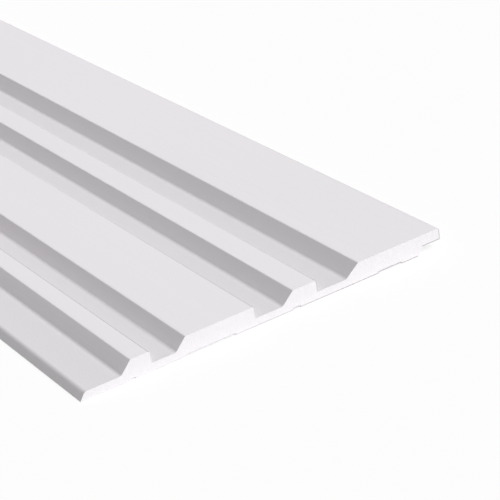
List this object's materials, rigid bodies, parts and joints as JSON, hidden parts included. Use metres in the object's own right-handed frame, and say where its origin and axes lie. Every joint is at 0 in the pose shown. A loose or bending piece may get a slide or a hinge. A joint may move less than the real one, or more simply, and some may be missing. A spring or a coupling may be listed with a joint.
{
  "type": "wall panel",
  "caption": "White slatted wall panel of wide and narrow flat bars with slanted left sides, lapping on its neighbours by a bevelled flange and an overhanging lip.",
  "frame": {"origin": "centre of the panel's back, on the floor that it lies on", "axes": "+Z out of the back through the bars, +Y along the length, +X from the flange towards the lip"},
  "size_m": [0.25, 2, 0.0125],
  "materials": {
    "primed_polymer": "matt white primer over white foamed polymer"
  },
  "bodies": {
    "root": {"wall_panel": "primed_polymer"}
  },
  "joints": []
}
